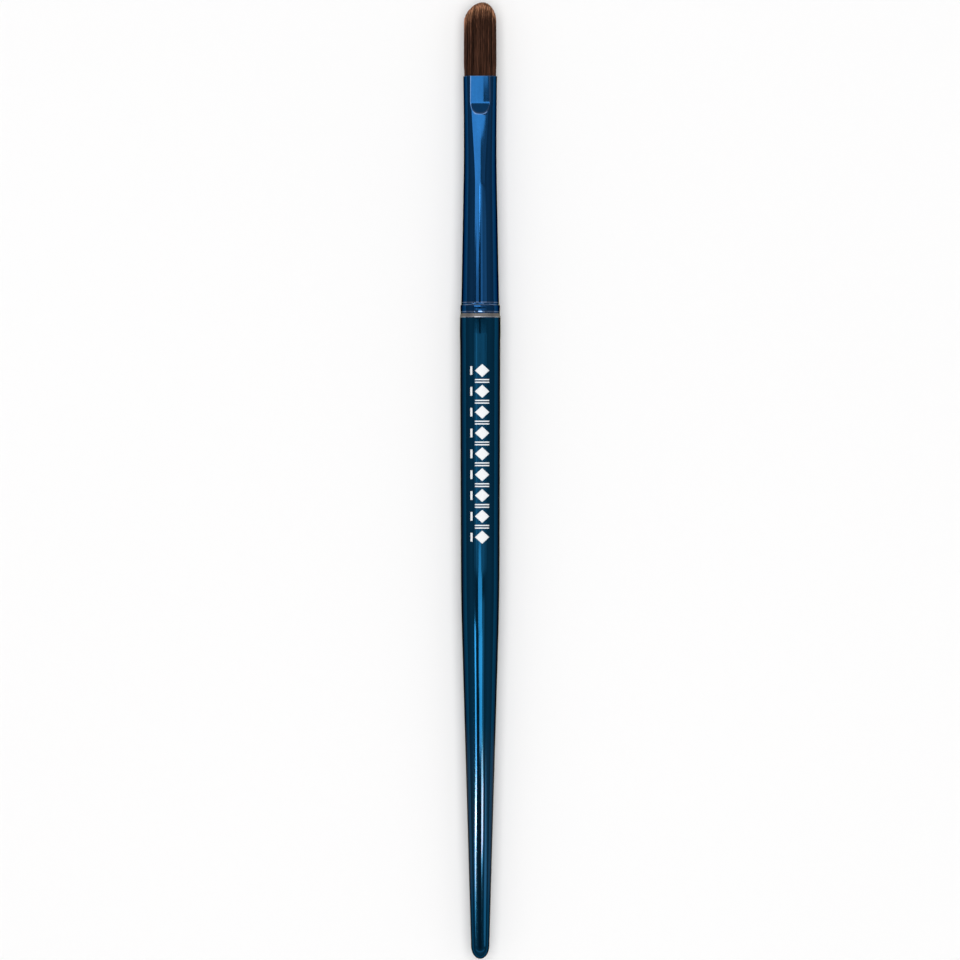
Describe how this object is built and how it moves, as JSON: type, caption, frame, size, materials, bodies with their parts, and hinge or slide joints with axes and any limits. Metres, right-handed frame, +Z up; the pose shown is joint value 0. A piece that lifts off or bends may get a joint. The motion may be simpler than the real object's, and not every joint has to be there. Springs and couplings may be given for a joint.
{
  "type": "lip brush",
  "caption": "Slim lip brush: long tapering lacquered handle, beaded blue metal ferrule crimped flat at its mouth, and a short domed tuft of dark brown hair.",
  "frame": {"origin": "bottom centre of the bounding box of the brush as it lies: below the middle of its length, on the plane that its widest part rests on", "axes": "+Y along the brush from the tail of the handle to the tip of the hair, +Z up out of the flat of the crimped ferrule, +X to the right of the flat seen from above with the hair away from the viewer"},
  "size_m": [0.0074, 0.175, 0.0074],
  "materials": {
    "lacquered_wood": "gloss lacquer in a dark metallic blue, with bare pale wood on the bevel in front of the collar",
    "blue_metal": "polished aluminium, anodised royal blue",
    "brown_hair": "soft dark brown hair with tan tips",
    "resin": "hardened clear adhesive"
  },
  "bodies": {
    "root": {"handle": "lacquered_wood", "ferrule": "blue_metal", "hair_tuft": "brown_hair", "root_resin": "resin"}
  },
  "joints": []
}
